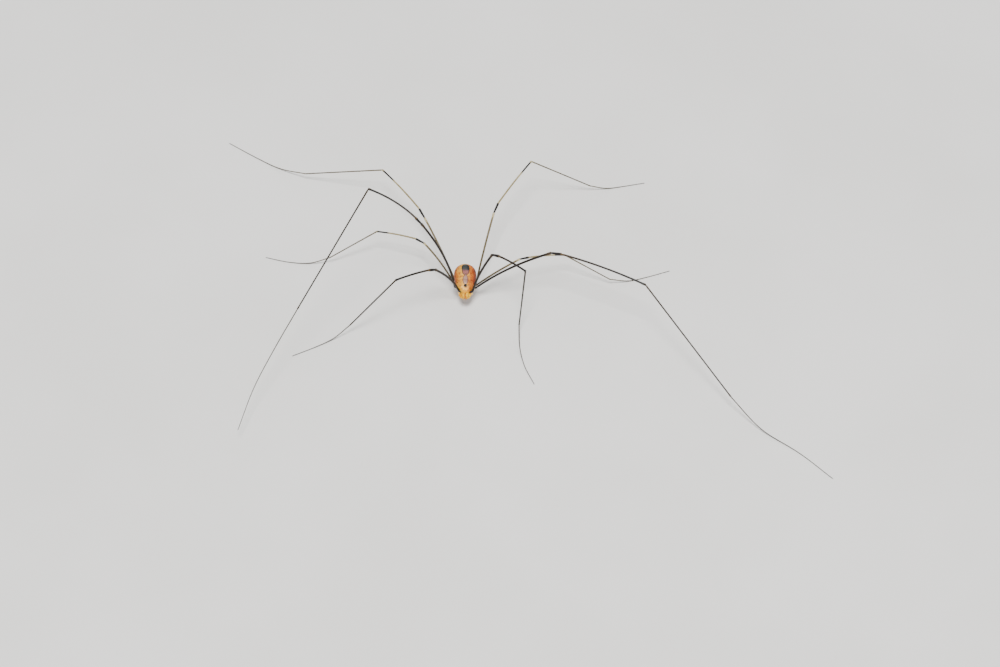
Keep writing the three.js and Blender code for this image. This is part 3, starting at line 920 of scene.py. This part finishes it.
def body_relief(x, y, turn):
    """How far the skin stands out (mm) and how deep in a groove it is, from 0 to 1, the depth that sets the
    painted shade in the grooves.
    """
    from_top = np.abs(turn) / math.pi
    back = 1 - smooth_share(from_top, *BACK_ENDS)
    belly = smooth_share(from_top, *BELLY_STARTS)
    bent = y - GROOVE_BEND * (x / BODY_HALF_WIDTH) ** 2
    out, groove = grooved(np.zeros_like(x), np.zeros_like(x), back, bent, BACK_GROOVES)
    edge = bell(from_top, BACK_ENDS[0], EDGE_WIDTH)
    for place, depth in EDGE_BAYS:
        out -= depth * edge * bell(y, place, EDGE_BAY_LENGTH)
    out, groove = grooved(out, groove, belly, y, BELLY_GROOVES)
    fold = bell(from_top, FOLD_LEVEL, FOLD_WIDTH) * smooth_share(y, *FOLD_STARTS)
    out -= FLANK_FOLD * fold
    groove = np.maximum(groove, FOLD_SHADE * fold)
    plate = np.abs(x) - np.interp(y, *PLATE_HALF_WIDTHS)
    plate_zone = belly * smooth_share(y, *PLATE_STARTS) * (1 - smooth_share(y, *PLATE_ENDS))
    out += BELLY_PLATE_DROP * plate_zone * (1 - smooth_share(plate, *PLATE_EDGE))
    return out, groove


def wrapped_faces(rings, around):
    """Faces of a closed tube of rings, with the last two points as its ends."""
    faces = []
    for i in range(rings - 1):
        for j in range(around):
            k = (j + 1) % around
            faces.append((i * around + j, i * around + k, (i + 1) * around + k, (i + 1) * around + j))
    last = (rings - 1) * around
    front = rings * around
    for j in range(around):
        k = (j + 1) % around
        faces.append((front, k, j))
        faces.append((front + 1, last + j, last + k))
    return faces


def spotted(points, spots):
    """How near each point is to one of the spots, from 0 to 1."""
    near = np.zeros(len(points))
    back = points[points[:, 2] > BODY_MIDDLE]
    for x, y, size in spots:
        centre = back[np.argmin((back[:, 0] - x) ** 2 + (back[:, 1] - y) ** 2)]
        near = np.maximum(near, np.exp(-((points - centre) ** 2).sum(axis=1) / size ** 2))
    return near


def body_skin():
    """One closed skin over carapace and abdomen, with the values its colours follow."""
    share = -np.cos(np.linspace(0, math.pi, BODY_RINGS + 2))[1:-1]
    turn = np.linspace(-math.pi, math.pi, BODY_AROUND, endpoint=False)
    share, turn = np.meshgrid(share, turn, indexing="ij")
    half_width, rise, depth = body_section(share)
    half_length = (BODY_REAR - BODY_FRONT) / 2
    x = half_width * np.sin(turn)
    y = (BODY_FRONT + BODY_REAR) / 2 + half_length * share
    z = BODY_MIDDLE + np.where(np.cos(turn) > 0, rise, depth) * np.cos(turn)
    plain = np.stack([x, y, z], axis=-1)
    wrapped = np.concatenate([plain[:, -1:], plain, plain[:, :1]], axis=1)
    around = wrapped[:, 2:] - wrapped[:, :-2]
    normal = unit(np.cross(around, np.gradient(plain, axis=0)))
    out, groove = body_relief(x, y, turn)
    skin = plain + normal * out[..., None]
    poles = np.array([[0, BODY_FRONT, BODY_MIDDLE], [0, BODY_REAR, BODY_MIDDLE]])
    points = np.concatenate([skin.reshape(-1, 3), poles])
    mesh = bpy.data.meshes.new("body_skin")
    mesh.from_pydata(in_frame(points).tolist(), [], wrapped_faces(BODY_RINGS, BODY_AROUND))
    place = points[:, 1]
    band_half = np.interp(place, [p for p, _ in BAND], [w for _, w in BAND], left=NO_BAND, right=NO_BAND)
    band = np.where(points[:, 2] > BODY_MIDDLE, band_half - np.abs(points[:, 0]), -1.0)
    on_back = points[:, 2] > BODY_MIDDLE - SPOTS_BELOW_MIDDLE
    ring = np.append(turn.ravel(), [0, 0])
    measures = {
        "band": band,
        "flank": np.append(np.abs(turn).ravel() / math.pi, [0.5, 0.5]),
        "ahead": place,
        "groove": np.append(groove.ravel(), [0, 0]),
        "aside": points[:, 0],
        "dark_spot_and_side_shade": on_back * spotted(points, DARK_SPOTS_AND_SIDE_SHADE),
        "pale_speck_and_highlight": on_back * spotted(points, PALE_SPECKS_AND_HIGHLIGHTS),
        "lie": np.zeros_like(points) + [0.0, 1.0, 0.0],
        "downy": np.where(points[:, 2] > BODY_MIDDLE - DOWNY_BELOW_MIDDLE, 1.0, BELLY_DOWN),
        "around": np.stack([np.cos(ring), np.sin(ring), 0 * ring], axis=1),
        "along": np.append((share.ravel() + 1) / 2, [0, 1]),
    }
    for name, values in measures.items():
        set_values(mesh, name, values)
    finish = body_finish()
    mesh.materials.append(finish)
    bristles("body_bristles", mesh, BODY_BRISTLES, finish, 1.0)
    return finished("body_skin", mesh, ["carapace", "abdomen"])


def eased(start, end, count, bow=0.0):
    """Points on a straight run that bows upwards by a share of its length."""
    start, end = np.asarray(start, float), np.asarray(end, float)
    chord = end - start
    side = unit(np.cross([0, 0, 1], chord))
    over = unit(np.cross(chord, side))
    middle = (start + end) / 2 + over * 2 * bow * np.linalg.norm(chord)
    t = np.linspace(0, 1, count)[:, None]
    return (1 - t) ** 2 * start + 2 * t * (1 - t) * middle + t ** 2 * end


def tapered(points, stations, first, last):
    """A run of limb through points, its girth read from (share, radius) stations."""
    lengths = np.linalg.norm(np.diff(points, axis=0), axis=1)
    share = np.concatenate([[0], np.cumsum(lengths)]) / lengths.sum()
    stops = [s for s, _ in stations]
    merged = np.unique(np.concatenate([share, stops]).round(5))
    dense = np.stack([np.interp(merged, share, points[:, i]) for i in range(3)], axis=1)
    girths = np.interp(merged, stops, [r for _, r in stations])
    return dense, girths, first + (last - first) * merged


def eye_centre(side):
    """Middle of an eye, on the side of the mound."""
    return np.array([
        SIDES[side] * EYE_SPREAD,
        MOUND_PLACE - EYE_FORWARD,
        back_height(MOUND_PLACE) + EYE_LIFT,
    ])


def mound_dome():
    """A steep dome with a flared foot and a furrow down its middle, as one closed mesh."""
    rings, around = MOUND_RINGS, MOUND_AROUND
    top = back_height(MOUND_PLACE)
    shares = np.linspace(0, 1, rings)
    turns = np.linspace(0, 2 * math.pi, around, endpoint=False)
    radii = np.interp(shares, MOUND_SHARES, MOUND_WIDTHS) * MOUND_RADIUS
    heights = np.interp(shares, MOUND_SHARES, MOUND_LEVELS) * MOUND_HEIGHT
    x = radii[:, None] * np.cos(turns)
    y = MOUND_PLACE + MOUND_OVAL * radii[:, None] * np.sin(turns)
    z = top + np.repeat(heights[:, None], around, axis=1)
    z += MOUND_SLOPE * (y - MOUND_PLACE) * (1 - shares[:, None])
    z -= MOUND_FURROW * bell(x, 0, FURROW_WIDTH) * smooth_share(shares[:, None], *FURROW_STARTS)
    points = np.concatenate([
        np.stack([x, y, z], axis=-1).reshape(-1, 3),
        [[0, MOUND_PLACE, top - MOUND_ROOT], [0, MOUND_PLACE, top + MOUND_HEIGHT - MOUND_FURROW]],
    ])
    faces = wrapped_faces(rings, around)
    mesh = bpy.data.meshes.new("mound_dome")
    mesh.from_pydata(in_frame(points).tolist(), [], faces)
    set_values(mesh, "along", np.append(np.repeat(shares, around), [0, 1]))
    return mesh


def eye_mound(finish):
    """The mound that carries the eyes, with two rows of small teeth."""
    base = back_height(MOUND_PLACE) + TOOTH_ROW_LIFT
    out, along, up = TOOTH_REACH
    runs = []
    for side in SIDES.values():
        for i in range(DENTICLES_IN_ROW):
            turn = math.radians(-TOOTH_ROW_TURN + 2 * TOOTH_ROW_TURN * i / (DENTICLES_IN_ROW - 1))
            root = np.array([
                side * TOOTH_ROW_ASIDE,
                MOUND_PLACE + TOOTH_ROW_LENGTH * math.sin(turn),
                base + TOOTH_ROW_RISE * math.cos(turn),
            ])
            tip = root + np.array([side * out, along * math.sin(turn), up])
            runs.append(tapered(np.stack([root, tip]), TOOTH_GIRTH, 1, 1))
    teeth = limb(runs, THIN_SIDES, finish)
    dome = mound_dome()
    dome.materials.append(finish)
    mesh = joined([dome, teeth])
    return finished("eye_mound_skin", mesh, ["eye_mound"])


def eye(side, finish):
    """One eye: a domed lens with a low rim round it, looking sideways."""
    centre = eye_centre(side)
    look = unit(placed(side, EYE_LOOK))
    stations = []
    for step in range(EYE_STEPS + 1):
        turn = math.pi * step / EYE_STEPS
        rim = EYE_RIM * bell(turn, EYE_RIM_TURN, EYE_RIM_WIDTH)
        stations.append(((1 - math.cos(turn)) / 2, max(EYE_LEAST, EYE_RADIUS * math.sin(turn) + rim)))
    ends = np.stack([centre + look * EYE_RADIUS, centre - look * EYE_RADIUS])
    mesh = limb([tapered(ends, stations, 0, 1)], EYE_SIDES, finish)
    return finished(f"eye_lens_{side}", mesh, [f"eye_{side}"])


def placed(side, place):
    """A place given for the left side, mirrored for the right."""
    out, along, height = place
    return np.array([SIDES[side] * out, along, height])


def jaw(side, finish):
    """A jaw: a short upper length, a swollen hanging hand and its two fingers."""
    root, elbow, wrist = (placed(side, place) for place in (JAW_ROOT, JAW_ELBOW, JAW_WRIST))
    upper_end = elbow + JAW_UPPER_OVERLAP * (elbow - root)
    hand_start = elbow + np.array([0, 0, JAW_HAND_RISE])
    hand_end = wrist - np.array([0, 0, JAW_HAND_DROP])
    runs = [
        tapered(eased(root, upper_end, count=14, bow=0.1), JAW_UPPER_GIRTH, 0, 0.3),
        tapered(eased(hand_start, hand_end, count=20, bow=0.08), JAW_HAND_GIRTH, 0.3, 0.6),
    ]
    for start, tip, bow in (
        (JAW_FIXED_ROOT, JAW_FIXED_TIP, JAW_FINGER_BOW),
        (JAW_MOVING_ROOT, JAW_MOVING_TIP, -JAW_FINGER_BOW),
    ):
        path = eased(wrist + placed(side, start), placed(side, tip), count=12, bow=bow)
        runs.append(tapered(path, JAW_FINGER_GIRTH, 0.7, 1))
    mesh = limb(runs, JAW_SIDES, finish)
    set_values(mesh, "aside", from_midline(mesh))
    return finished(f"jaw_skin_{side}", mesh, [f"chelicera_{side}"])


def from_midline(mesh):
    """How far each point of a mesh is from the animal's midline, in millimetres."""
    return np.abs(places_of(mesh)[:, 0] - ORIGIN.x) / MM


def feeler(side, finish):
    """A feeler: a lobe at the mouth, four lengths with swollen ends, and one claw."""
    joints = [placed(side, place) for place in FEELER_JOINTS]
    lobe = [placed(side, place) for place in MOUTH_LOBE]
    runs = [tapered(eased(lobe[0], lobe[1], count=12, bow=0.1), MOUTH_LOBE_GIRTH, 0, 0.2)]
    for i, r in enumerate(FEELER_RADII):
        last = i == len(FEELER_RADII) - 1
        end = FEELER_TIP * r if last else r
        ahead = unit(joints[i + 1] - joints[i])
        stations = [(share, wide * (end if share > FEELER_SWELL else r)) for share, wide in FEELER_GIRTH]
        reach = 0.0 if last else FEELER_REACH * r
        start = joints[i] - FEELER_SEAT * r * ahead
        points = eased(start, joints[i + 1] + reach * ahead, count=22, bow=0.04)
        runs.append(tapered(points, stations, 0.2 * i, 0.2 * i + 0.2))
    claw_tip = joints[-1] + np.array(FEELER_CLAW)
    claw_root = joints[-1] - FEELER_CLAW_SEAT * ahead
    runs.append(tapered(eased(claw_root, claw_tip, count=10, bow=0.15), CLAW_GIRTH, 1, 1))
    mesh = limb(runs, FEELER_SIDES, finish)
    ringed(mesh, FEELER_SIDES)
    set_values(mesh, "aside", from_midline(mesh))
    set_values(mesh, "downy", (values_of(mesh, "along", 1) < 0.99).astype(float))
    bristles(f"feeler_bristles_{side}", mesh, FEELER_BRISTLES, finish, 1.0)
    return finished(f"feeler_skin_{side}", mesh, [f"pedipalp_{side}"])


# Legs

def stride(start, length, heading, rise):
    """The point a length away from start in the direction of a heading and a rise."""
    h, r = math.radians(heading), math.radians(rise)
    return start + length * np.array([math.cos(r) * math.cos(h), math.cos(r) * math.sin(h), math.sin(r)])


def hip_of(side, number):
    """Where a femur grows from its hip."""
    return beside(placed(side, HIPS[number]))


def beside(place):
    """A place of the legs, which stand a little to the left of the body's own middle."""
    return place + np.array([STANCE_ASIDE, 0.0, 0.0])


def leg_joints(side, number):
    """Hip, the ends of the four upper lengths, and three points along the tarsus."""
    sizes = list(LEG_LENGTHS[number])
    if (side, number) == ("left", 4):
        sizes[4] = SHORT_LEFT_FOURTH_TARSUS
    headings, rises = POSE[side][number]
    joints = [hip_of(side, number)]
    for i in range(4):
        joints.append(stride(joints[-1], sizes[i], headings[i], rises[i]))
    ankle = joints[4][2]
    for toe in range(3):
        length = sizes[4] / 3
        if len(rises) > 4:
            rise = rises[4 + toe]
        else:
            level = ankle * (1 - FIRST_TOE_DROP) if toe == 0 else SOLID_TOE_AXIS
            rise = math.degrees(math.asin((level - joints[-1][2]) / length))
        joints.append(stride(joints[-1], length, headings[4 + toe], rise))
    return joints


def softened(points, count):
    """A smooth curve through a few points."""
    points = np.asarray(points, float)
    knots = np.concatenate([[0], np.cumsum(np.linalg.norm(np.diff(points, axis=0), axis=1) ** 0.5)])
    ends = np.concatenate([[2 * points[0] - points[1]], points, [2 * points[-1] - points[-2]]])
    first, last = knots[1] - knots[0], knots[-1] - knots[-2]
    times = np.concatenate([[knots[0] - first], knots, [knots[-1] + last]])
    out = []
    for t in np.linspace(knots[0], knots[-1], count):
        i = int(np.clip(np.searchsorted(knots, t, side="right") - 1, 0, len(points) - 2))
        p, k = ends[i:i + 4], times[i:i + 4]
        a = [((k[j + 1] - t) * p[j] + (t - k[j]) * p[j + 1]) / (k[j + 1] - k[j]) for j in range(3)]
        b = [((k[j + 2] - t) * a[j] + (t - k[j]) * a[j + 1]) / (k[j + 2] - k[j]) for j in range(2)]
        out.append(((k[2] - t) * b[0] + (t - k[1]) * b[1]) / (k[2] - k[1]))
    return np.array(out)


def tarsus_run(joints):
    """The tarsus: many short rings, each a little wider at its far end, lying along the floor."""
    curve = softened(joints, TARSUS_POINTS)
    rings = round(np.linalg.norm(np.diff(curve, axis=0), axis=1).sum() / TARSOMERE_LENGTH)
    stations = [(0, 0.01)]
    for ring in range(rings):
        for share, wide in TARSOMERE:
            at = max(TARSUS_START, (ring + share) / rings)
            stations.append((at, wide * float(np.interp(at, [0, 1], TARSUS_RADII))))
    points, girths, along = tapered(curve, stations + TOE_TIP, 4, 5)
    held = np.interp(np.linspace(0, 1, len(points)), [0, 1], TARSUS_RADII)
    points[:, 2] = np.maximum(points[:, 2] - SOLID_TOE_AXIS + held, girths)
    return points, girths, along


def claws(finish):
    """The small curved claw at the tip of each tarsus."""
    runs = []
    for side in SIDES:
        for number in HIPS:
            toe = tarsus_run(leg_joints(side, number)[4:])[0]
            ahead = unit((toe[-1] - toe[-12]) * np.array([1, 1, 0]))
            drop = min(toe[-1][2] - CLAW_CLEARANCE, CLAW_DROP * CLAW_LENGTH)
            tip = toe[-1] + CLAW_AHEAD * CLAW_LENGTH * ahead - np.array([0, 0, drop])
            path = eased(toe[-1] - CLAW_SEAT * ahead, tip, count=14, bow=0.16)
            runs.append(tapered(path, CLAW_GIRTH, 0, 1))
    return finished("toe_claws", limb(runs, THIN_SIDES, finish))


def leg(side, number, finish):
    """One leg from its hip to the tip of its tarsus, each length closed and seated in the last."""
    joints = leg_joints(side, number)
    runs = []
    for i, segment in enumerate(SEGMENTS[:4]):
        ahead = unit(joints[i + 1] - joints[i])
        bow = FEMUR_BOWS.get((side, number), BOWS["femur"]) if segment == "femur" else BOWS[segment]
        start = joints[i] - SEGMENT_SEAT * ahead
        points = eased(start, joints[i + 1] + SEGMENT_REACH * ahead, count=30, bow=bow)
        stations = [(s, r * THICKNESS[number]) for s, r in GIRTHS[segment]]
        if segment == "metatarsus":
            stations = with_false_joints(stations, FALSE_JOINTS[number])
        runs.append(tapered(points, stations, i, i + 1))
    runs.append(tarsus_run(joints[4:]))
    mesh = limb(runs, LEG_SIDES, finish)
    ringed(mesh, LEG_SIDES)
    along = values_of(mesh, "along", 1)
    set_values(mesh, "downy", np.where(along > 4, DOWNY_TOE, 1.0) * (along > BARE_HIP))
    bristles(f"leg_bristles_{number}_{side}", mesh, LEG_BRISTLES, finish, len(SEGMENTS))
    nodes = [f"leg_{number}_{side}_{segment}" for segment in SEGMENTS]
    return finished(f"leg_skin_{number}_{side}", mesh, nodes)


def with_false_joints(stations, count):
    """Metatarsus stations with a few fine rings where it can flex."""
    places = [s for s, _ in stations]
    radii = [r for _, r in stations]
    extra = []
    for i in range(count):
        at = FALSE_JOINT_START + FALSE_JOINT_SPAN * (i + 0.5) / count
        r = float(np.interp(at, places, radii))
        extra += [(at + shift, wide * r) for shift, wide in FALSE_JOINT_RING]
    return sorted(stations + extra)


def coxa(side, number, finish):
    """Hip: a stout oval cone under the body, a pale rim and the dark knob that the femur grows from."""
    root, hip = placed(side, COXA_ROOTS[number]), hip_of(side, number)
    rim = beside(placed(side, COXA_RIMS[number]))
    out = unit(hip - rim)
    start = beside(placed(side, FIRST_TROCHANTER_ROOT)) if number == 1 else rim - TROCHANTER_SEAT * out
    end = hip + TROCHANTER_REACH * unit(hip - start)
    first, last = COXA_ALONG
    runs = [
        tapered(np.stack([root, rim]), COXA_GIRTH, first, last),
        tapered(np.stack([start, end]), TROCHANTER_GIRTH, 0.05, 1.0),
    ]
    mesh = limb(runs, COXA_SIDES, finish)
    places = places_of(mesh)
    share = values_of(mesh, "along", 1).astype(float)
    in_bone = share < 0
    axis = in_frame(root + (rim - root) * np.clip((share - first) / (last - first), 0, 1)[:, None])
    taller = 1 + COXA_EXTRA_HEIGHT * in_bone * (1 - smooth_share(share, COXA_TALL_TO, last))
    places[:, 2] = axis[:, 2] + (places[:, 2] - axis[:, 2]) * taller
    mesh.vertices.foreach_set("co", places.ravel())
    set_values(mesh, "beyond_collar", share)
    return finished(f"coxa_skin_{number}_{side}", mesh, [f"leg_{number}_{side}_coxa"])


# Stage

def build_floor():
    """A wide pale floor at the height of the feet."""
    half = FLOOR_HALF_WIDTH
    mesh = bpy.data.meshes.new("studio_floor")
    corners = [(-half, -half, 0), (half, -half, 0), (half, half, 0), (-half, half, 0)]
    mesh.from_pydata(corners, [], [(0, 1, 2, 3)])
    mesh.materials.append(floor_finish())
    added("studio_floor", mesh)


def soft_light(name, place, aim, size, power):
    """A square soft light at a place, turned to an aim, both in metres."""
    lamp = bpy.data.lights.new(name, "AREA")
    lamp.size = size
    lamp.energy = power
    light = added(name, lamp)
    light.location = place
    light.rotation_euler = (Vector(aim) - Vector(place)).to_track_quat("-Z", "Y").to_euler()


def build_lights():
    """Plain soft studio light, mostly from above and in front."""
    for name, (place, size, power) in LAMPS.items():
        soft_light(name, ORIGIN + Vector(place), ORIGIN, size, power)
    world = bpy.data.worlds.new("studio")
    world.use_nodes = True
    sky = world.node_tree.nodes["Background"]
    feed(world.node_tree, sky, {"Color": SKY_COLOUR, "Strength": SKY_STRENGTH})
    bpy.context.scene.world = world


def build_camera():
    """Camera at the photograph's angle and distance, aimed at the floor beside the body."""
    rise, turn, roll = (math.radians(a) for a in (CAMERA_RISE, CAMERA_TURN, CAMERA_ROLL))
    back = Vector((math.sin(turn) * math.cos(rise), -math.cos(turn) * math.cos(rise), math.sin(rise)))
    level = Vector((math.cos(turn), math.sin(turn), 0.0))
    upright = back.cross(level)
    right = math.cos(roll) * level + math.sin(roll) * upright
    top = -math.sin(roll) * level + math.cos(roll) * upright
    aim = ORIGIN + Vector((AIM_ASIDE, AIM_AHEAD, 0.0)) * MM
    lens = bpy.data.cameras.new("camera")
    lens.lens = LENS
    lens.sensor_width = SENSOR
    lens.clip_start = 0.01
    lens.clip_end = 10.0
    camera = added("camera", lens)
    place = aim + back * CAMERA_DISTANCE * MM
    camera.matrix_world = Matrix((*zip(right, top, back, place), (0.0, 0.0, 0.0, 1.0)))
    bpy.context.scene.camera = camera


def build_animal():
    """All pieces of the animal."""
    face, mound, eyes = face_finish(), mound_finish(), eye_finish()
    legs = {1: dark_leg_finish(), 3: olive_leg_finish()}
    hips = {1: coxa_finish("dark_hip", "#17100e"), 3: coxa_finish("olive_hip", "#4c3418")}
    claws(horn_finish())
    body_skin()
    eye_mound(mound)
    for side in SIDES:
        eye(side, eyes)
        jaw(side, face)
        feeler(side, face)
        for number in HIPS:
            kind = 1 if number < 3 else 3
            coxa(side, number, hips[kind])
            leg(side, number, legs[kind])


build_camera()
build_floor()
build_lights()
build_animal()
